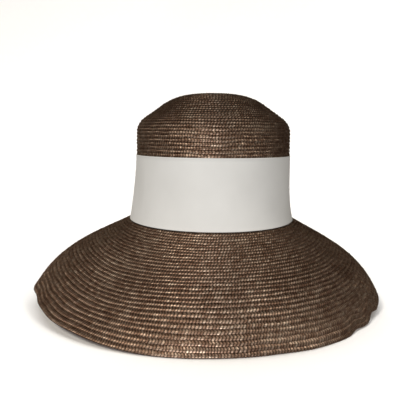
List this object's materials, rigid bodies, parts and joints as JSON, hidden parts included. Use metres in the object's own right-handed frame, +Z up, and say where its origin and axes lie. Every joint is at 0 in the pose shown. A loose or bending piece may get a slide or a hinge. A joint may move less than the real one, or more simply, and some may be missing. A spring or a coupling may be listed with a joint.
{
  "type": "wide-brimmed dress hat",
  "caption": "Oval-crowned dress hat of sewn straw braid with a broad plain ribbon and a deep bell-shaped brim that falls to the surface it rests on.",
  "frame": {"origin": "on the surface that the brim's edge rests on, under the middle of the whole hat", "axes": "+Z up through the crown, -Y the front of the hat, +X its right side in the view from the front"},
  "size_m": [0.3756, 0.373, 0.2233],
  "materials": {
    "straw": "dark brown sewn straw braid with a low gloss and tan glints on the crests of its rows",
    "ribbon": "off-white woven ribbon, close fine ribs, matt"
  },
  "bodies": {
    "root": {"crown": "straw", "brim": "straw", "ribbon_band": "ribbon"}
  },
  "joints": []
}
